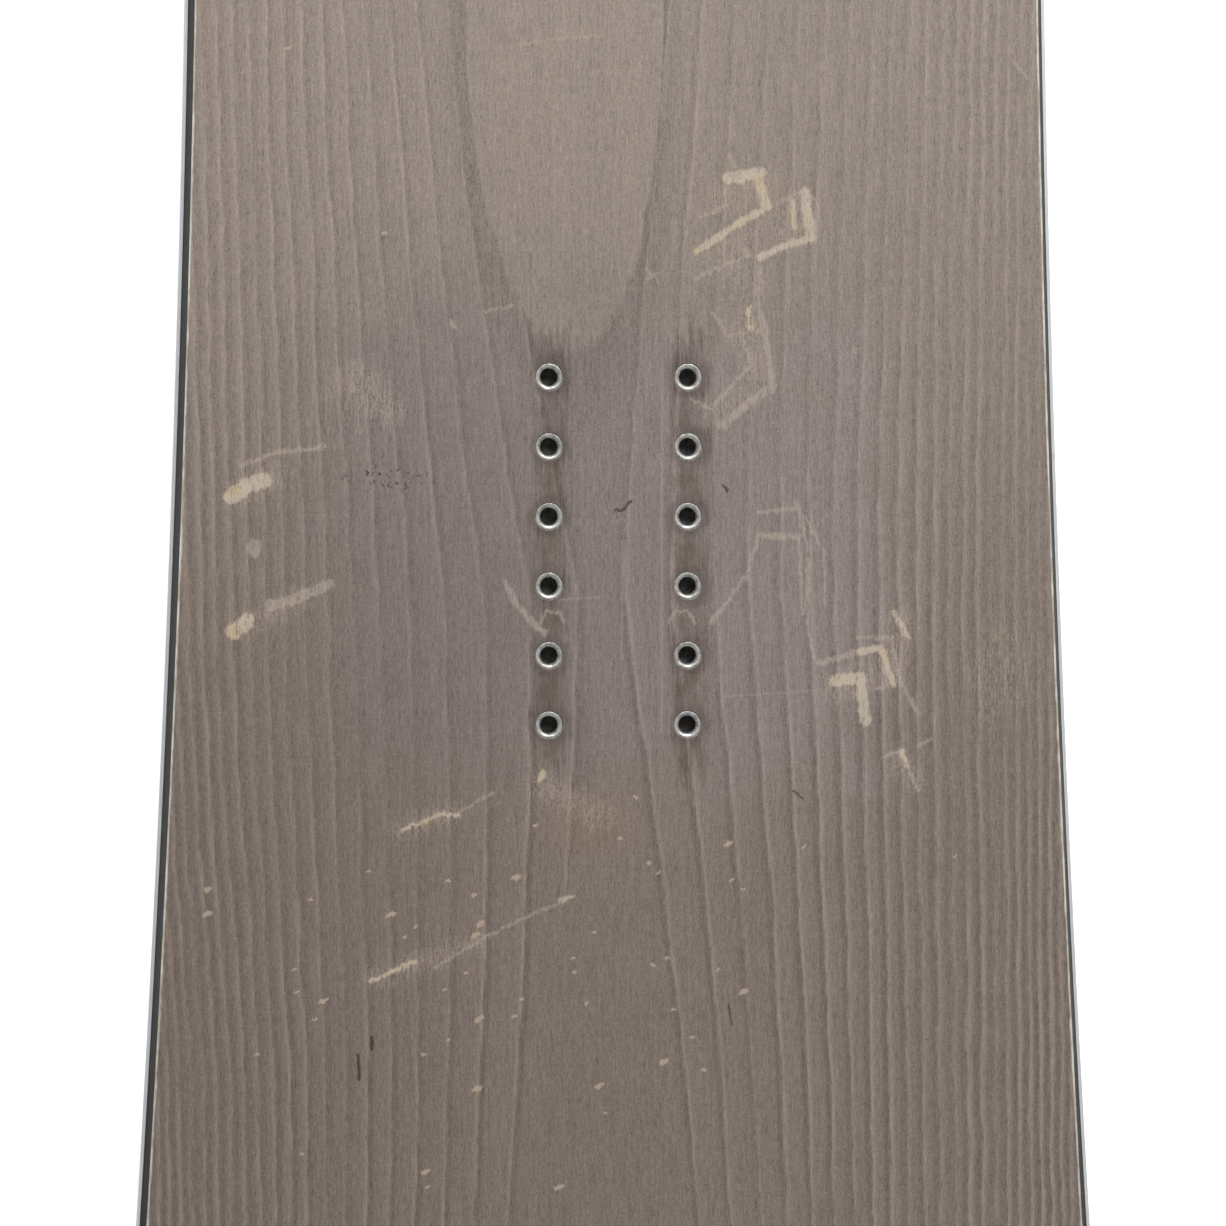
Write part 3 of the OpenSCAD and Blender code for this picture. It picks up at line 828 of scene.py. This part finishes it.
def floor_material():
    """Pale studio floor that stays near white under the board."""
    s = Shader("studio_floor")
    mottle = s.noise(s.place(), 0.004, 2.0)
    colour = s.mix(s.fade(mottle, 0.3, 0.7), tone(244, 244, 244), tone(250, 250, 250))
    return s.finish(base_color=colour, roughness=0.9, emission_color=(1, 1, 1, 1),
                    emission_strength=0.6)


# ---- Deck ----

INSERT_ROWS = 6
ROW_PITCH = 20 * MM
COLUMN_GAP = 40 * MM
HOLE_R = 4.1 * MM


def insert_places(centre_y):
    """Plan positions of the twelve inserts of a pack, all on the 20 mm grid."""
    return [(side * COLUMN_GAP / 2, centre_y + (row - (INSERT_ROWS - 1) / 2) * ROW_PITCH)
            for row in range(INSERT_ROWS) for side in (-1, 1)]


def cut_holes(piece, places, radius):
    """Drills upright holes through a piece."""
    cutter = bpy.data.meshes.new("hole_cutter")
    work = bmesh.new()
    for x, y in places:
        bmesh.ops.create_cone(work, cap_ends=True, segments=96, radius1=radius, radius2=radius,
                              depth=0.08, matrix=Matrix.Translation((x, y, 0)))
    work.to_mesh(cutter)
    work.free()
    drill = bpy.data.objects.new("hole_cutter", cutter)
    bpy.context.scene.collection.objects.link(drill)
    cut = piece.modifiers.new("holes", "BOOLEAN")
    cut.object = drill
    cut.operation = "DIFFERENCE"
    cut.solver = "EXACT"
    graph = bpy.context.evaluated_depsgraph_get()
    drilled = bpy.data.meshes.new_from_object(piece.evaluated_get(graph))
    piece.modifiers.clear()
    piece.data = drilled
    bpy.data.objects.remove(drill)


def build_deck(stations):
    """The veneer, with a chipped rim and the faint waviness of a pressed sheet."""
    normals = inward(stations)
    count = len(stations)
    back = stations + VENEER_INSET * normals
    rims = []
    for seed in (11, 12):
        fine = abs(wander(count, MM, seed, 2.5, 0.10 * MM))
        broad = abs(wander(count, MM, seed + 10, 9, 0.10 * MM))
        chip = np.clip(wander(count, MM, seed + 20, 5, 0.4 * MM) - 0.5 * MM, 0, 0.6 * MM)
        rims.append(back + (fine + broad + chip)[:, None] * normals)
    right, left = rims[0], rims[1] * [-1, 1]
    for rim in (right, left):
        rim[0, 0] = rim[-1, 0] = 0.0

    def waviness(x, y):
        return 0.02 * MM * (np.sin(x * 61 + y * 7) + np.sin(y * 23 - x * 17))

    across = graded([0, 0.3 * MM, 0.9 * MM, 2.5 * MM], 26, SHAPE["half_waist"])
    vertices, faces, kinds = sheet_mesh(back, DECK, GLASS_TOP, (right, left), across, waviness)
    middles = np.array([vertices[list(face)].mean(axis=0)[:2] for face in faces])
    columns, rows = zone_of(middles[:, 0] / MM, (middles[:, 1] - REAR_Y) / MM)
    materials = [raw_edge_material()]
    zone_index = {}
    for zone in sorted(set(zip(columns.tolist(), rows.tolist()))):
        if has_marks(zone):
            zone_index[zone] = len(materials)
            materials.append(deck_material(zone))
    unmarked = len(materials)
    materials.append(deck_material((0, 0)))
    indices = [0 if kind == "rim" else zone_index.get(zone, unmarked)
               for kind, zone in zip(kinds, zip(columns.tolist(), rows.tolist()))]
    deck = new_piece("veneer_deck", vertices, faces, materials, indices)
    cut_holes(deck, insert_places(FRONT_Y) + insert_places(REAR_Y), HOLE_R)
    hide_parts("veneer_topsheet")


def build_base(stations):
    """The running base, with the soft ridges of stone grinding along its length."""
    rim = stations + EDGE_W * inward(stations)
    rim[0, 0] = rim[-1, 0] = 0.0

    def grinding(x, y):
        return 0.008 * MM * (1 + np.sin(x * 2100 + np.sin(y * 9)))

    across = graded([0, 0.5 * MM, 2 * MM], 60, SHAPE["half_waist"])
    vertices, faces, _ = sheet_mesh(rim, SOLE, BASE_TOP, (rim, rim * [-1, 1]), across, grinding)
    base = new_piece("ground_base", vertices, faces, [base_material()])
    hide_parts("running_base")


# ---- Sides ----

def between(first, second, share):
    """The level at a share of the way between two levels."""
    return tuple(a + (b - a) * share for a, b in zip(first, second))


def build_sidewalls(stations):
    """Bevelled sidewalls beside the core, planed by hand so their faces are never quite flat."""
    inside = np.flatnonzero(abs(stations[:, 1] - WAIST_Y) <= HALF_RUN + 1e-9)
    first, last = inside[0], inside[-1]
    shares = [0, 0.06, 0.2, 0.4, 0.6, 0.8, 0.94, 1]
    section = [(LEDGE_W + (BEVEL_W - LEDGE_W) * t, between(WALL_FOOT, CORE_TOP, t)) for t in shares]
    section += [(CORE_INSET, CORE_TOP), (CORE_INSET, WALL_FOOT)]
    count = last - first + 1
    material = sidewall_material()
    for name, side, seed in (("left", -1, 31), ("right", 1, 51)):
        wear = np.zeros((len(stations), len(section)))
        for k in range(1, len(shares) - 1):
            planed = abs(wander(count, MM, seed + k, 14, 0.035 * MM))
            gouge = np.clip(wander(count, MM, seed + 10 + k, 4, 0.14 * MM) - 0.26 * MM, 0, 0.25 * MM)
            wear[first:last + 1, k] = planed + gouge
        vertices, faces = sweep_mesh(section, first, last, side, stations, CORE_REACH, wear)
        wall = new_piece("planed_sidewall_" + name, vertices, faces, [material], smooth_angle=40)
        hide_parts("sidewall_" + name)


def build_edges(stations):
    """Steel edges: a rail with filed corners and a tab that runs under the core."""
    corner = 0.15 * MM
    section = [
        (corner, SOLE),
        (EDGE_W, SOLE),
        (EDGE_W, BASE_TOP),
        (EDGE_W + TAB_W, BASE_TOP),
        (EDGE_W + TAB_W, TAB_TOP),
        (EDGE_W, TAB_TOP),
        (EDGE_W, CORE_FOOT),
        (corner, CORE_FOOT),
        (0.0, (CORE_FOOT[0] - corner, 0.0)),
        (0.0, (corner, 0.0)),
    ]
    hairline = 0.05 * MM
    count = len(stations)
    material = edge_steel_material()
    for name, side, seed in (("left", -1, 71), ("right", 1, 81)):
        wear = np.zeros((count, len(section)))
        wear[:, -1] = np.clip(wander(count, MM, seed, 6, 0.09 * MM) - 0.13 * MM, 0, 0.2 * MM)
        wear[:, -2] = np.clip(wander(count, MM, seed + 1, 8, 0.09 * MM) - 0.13 * MM, 0, 0.2 * MM)
        ring, faces = sweep_mesh(section, 0, count - 1, side, stations, None, wear)
        ring = [(side * max(abs(x), hairline), y, z) for x, y, z in ring]
        edge = new_piece("filed_edge_" + name, ring, faces, [material])
        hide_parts("steel_edge_" + name)


# ---- Inserts ----

BARREL_R = 3.9 * MM
FLANGE_R = 8 * MM
FLANGE_T = 1.2 * MM
NOTCH_R = 2 * MM
BORE_R = 2.5 * MM
THREAD_DEPTH = 0.42 * MM
THREAD_PITCH = 1.0 * MM
GROOVE_HALF = 0.42        # half the groove's width, as a share of the pitch
GROOVE_GAIN = 1.15        # over 1, so that the groove has a flat bottom
FLOOR_T = 1.2 * MM
MOUTH_R = 3.5 * MM
MOUTH_CHAMFER = 0.9 * MM
MOUTH_DEPTH = 0.3 * MM
FOOT_GAP = 0.1 * MM
INSERT_SEGMENTS = 72


def flange_radius(angle):
    """Radius of the flange's edge, which has four round notches on its diagonals."""
    off = (angle % (math.pi / 2)) - math.pi / 4
    reach = NOTCH_R**2 - (FLANGE_R * math.sin(off)) ** 2
    if reach <= 0:
        return FLANGE_R
    return FLANGE_R * math.cos(off) - math.sqrt(reach)


def thread_radius(angle, z):
    """Radius of the bore at one point of its helical thread: a simple groove, 1 mm a turn."""
    turn = (z / THREAD_PITCH - angle / (2 * math.pi)) % 1
    groove = max(0.0, 1 - abs(turn - 0.5) / GROOVE_HALF)
    return BORE_R + THREAD_DEPTH * min(1.0, groove * GROOVE_GAIN)


def insert_rings(height):
    """Rings (radius as a function of the angle, z) from the middle of the foot to the floor."""
    def plain(radius):
        return lambda angle, z: radius

    def flange(shrink):
        return lambda angle, z: flange_radius(angle) - shrink

    edge = 0.15 * MM
    rings = [(plain(0.0), 0.0), (plain(BARREL_R), 0.0), (flange(edge), 0.0), (flange(0.0), edge),
             (flange(0.0), FLANGE_T - edge), (flange(edge), FLANGE_T),
             (plain(BARREL_R + 2 * edge), FLANGE_T), (plain(BARREL_R), FLANGE_T + 2 * edge),
             (plain(BARREL_R), height - 0.2 * MM)]
    for step in range(1, 5):
        turn = step / 4 * math.pi / 2
        rings.append((plain(BARREL_R - 0.2 * MM * (1 - math.cos(turn))),
                      height - 0.2 * MM * (1 - math.sin(turn))))
    thread_top = height - MOUTH_CHAMFER
    for step in range(9):
        turn = step / 8 * math.pi / 2
        rings.append((plain(MOUTH_R - (MOUTH_R - BORE_R) * math.sin(turn)),
                      thread_top + MOUTH_CHAMFER * math.cos(turn)))
    for z in np.arange(thread_top, FLOOR_T, -0.125 * MM):
        rings.append((thread_radius, z))
    rings += [(plain(BORE_R), FLOOR_T), (plain(0.0), FLOOR_T)]
    return rings


def build_inserts(name, node, centre_y, material):
    """Twelve turned inserts, each with a notched flange and a threaded blind bore."""
    rng = np.random.default_rng(int(abs(centre_y) * 1000))
    vertices, faces = [], []
    for x, y in insert_places(centre_y):
        sole = float(sole_height(y))
        foot = sole + CORE_FOOT[0] + FOOT_GAP
        mouth = sole + DECK[0] + CORE_MIDDLE - MOUTH_DEPTH
        rings = insert_rings(mouth - foot)
        start = rng.uniform(0, 2 * math.pi)
        base = len(vertices)
        for radius_at, z in rings:
            for i in range(INSERT_SEGMENTS):
                angle = 2 * math.pi * i / INSERT_SEGMENTS
                thread_angle = angle + start if radius_at is thread_radius else angle
                radius = radius_at(thread_angle, z)
                vertices.append((x + radius * math.cos(angle), y + radius * math.sin(angle), foot + z))
        for k in range(len(rings) - 1):
            for i in range(INSERT_SEGMENTS):
                j = (i + 1) % INSERT_SEGMENTS
                a, b = base + k * INSERT_SEGMENTS, base + (k + 1) * INSERT_SEGMENTS
                faces.append((a + i, a + j, b + j, b + i))
    pack = new_piece(name, vertices, faces, [material])
    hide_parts(node)


# ---- CAD nodes that are shown as they are ----

def dress_cad_nodes():
    """Gives each CAD node that stays a procedural material and smooth curved faces."""
    laminate = laminate_material()
    pale = core_wood_material("poplar_core", tone(222, 203, 162), tone(196, 172, 128))
    dark = core_wood_material("beech_core", tone(186, 146, 106), tone(150, 110, 74))
    spacer = plastic_material("tip_spacer_plastic", tone(44, 45, 48), tone(62, 63, 66), 0.5)
    rubber = plastic_material("moulded_damping_rubber", tone(26, 26, 27), tone(38, 38, 38), 0.8)
    for name, node in frame["nodes"].items():
        if node.hide_render:
            continue
        if "laminate" in name:
            material, slot = laminate, "glass_laminate"
        elif "core_edge" in name:
            material, slot = dark, "dark_core_wood"
        elif "core_stringer" in name:
            even = int(name.split("_")[-1]) % 2 == 0
            material, slot = (dark, "dark_core_wood") if even else (pale, "pale_core_wood")
        elif "spacer" in name:
            material, slot = spacer, "spacer"
        else:
            material, slot = rubber, "damping_rubber"
        node.data.materials.clear()
        node.data.materials.append(material)
        node.data.polygons.foreach_set("use_smooth", [True] * len(node.data.polygons))
        node.data.set_sharp_from_angle(angle=math.radians(25))


# ---- Stage, light and camera ----

def build_floor():
    """A pale floor, just under the board so that nothing flickers where they touch."""
    half = 12.0
    mesh = bpy.data.meshes.new("studio_floor")
    mesh.from_pydata([(-half, -half, 0), (half, -half, 0), (half, half, 0), (-half, half, 0)],
                     [], [(0, 1, 2, 3)])
    mesh.materials.append(floor_material())
    floor = bpy.data.objects.new("studio_floor", mesh)
    floor.location.z = -0.0005
    bpy.context.scene.collection.objects.link(floor)


def add_light(name, place, aim, size, power):
    """A round softbox, size across, turned to shine on aim."""
    light = bpy.data.lights.new(name, "AREA")
    light.shape = "DISK"
    light.size = size
    light.energy = power
    lamp = bpy.data.objects.new(name, light)
    lamp.location = place
    lamp.rotation_euler = (Vector(aim) - Vector(place)).to_track_quat("-Z", "Y").to_euler()
    bpy.context.scene.collection.objects.link(lamp)


def add_world(strength):
    """White light from all round, which fills the shadows."""
    world = bpy.data.worlds.new("studio")
    world.use_nodes = True
    world.node_tree.nodes["Background"].inputs["Color"].default_value = (1, 1, 1, 1)
    world.node_tree.nodes["Background"].inputs["Strength"].default_value = strength
    bpy.context.scene.world = world


SENSOR_MM = 36.0
CAMERA_HEIGHT = 1.35
SEEN_WIDTH = 351.7 * MM                  # how much of the board's length is in the picture
AIM_FROM_REAR = (-1.6 * MM, -17.8 * MM)  # the picture's middle, from the rear pack's
CAMERA_LEAN = (-90 * MM, 30 * MM)        # the camera isn't quite over what it looks at


def add_camera():
    """Looks almost straight down on the rear pack, so that the board fills the frame."""
    aim_x, aim_y = AIM_FROM_REAR
    target = Vector((aim_x, REAR_Y + aim_y, level_height(DECK, REAR_Y)))
    place = target + Vector((*CAMERA_LEAN, CAMERA_HEIGHT))
    back = (place - target).normalized()
    right = Vector((0, 1, 0)).cross(back).normalized()
    up = back.cross(right)
    turn = Matrix((right, up, back)).transposed()
    lens = bpy.data.cameras.new("camera")
    lens.sensor_width = SENSOR_MM
    lens.lens = SENSOR_MM * CAMERA_HEIGHT / SEEN_WIDTH
    lens.clip_end = 100
    camera = bpy.data.objects.new("camera", lens)
    camera.matrix_world = Matrix.Translation(place) @ turn.to_4x4()
    bpy.context.scene.collection.objects.link(camera)
    bpy.context.scene.camera = camera


FINE = outline(150, 1210)
COARSE = outline(90, 300)

build_deck(FINE)
build_base(COARSE)
build_sidewalls(FINE)
build_edges(FINE)
insert_steel = insert_steel_material()
build_inserts("turned_inserts_front", "front_inserts", FRONT_Y, insert_steel)
build_inserts("turned_inserts_rear", "rear_inserts", REAR_Y, insert_steel)
dress_cad_nodes()

build_floor()
add_world(0.4)
rear = Vector((0, REAR_Y, 0))
add_light("key", rear + Vector((0.4, 1.6, 2.1)), rear, 1.6, 50)
add_camera()
bpy.context.scene.view_settings.view_transform = "Standard"
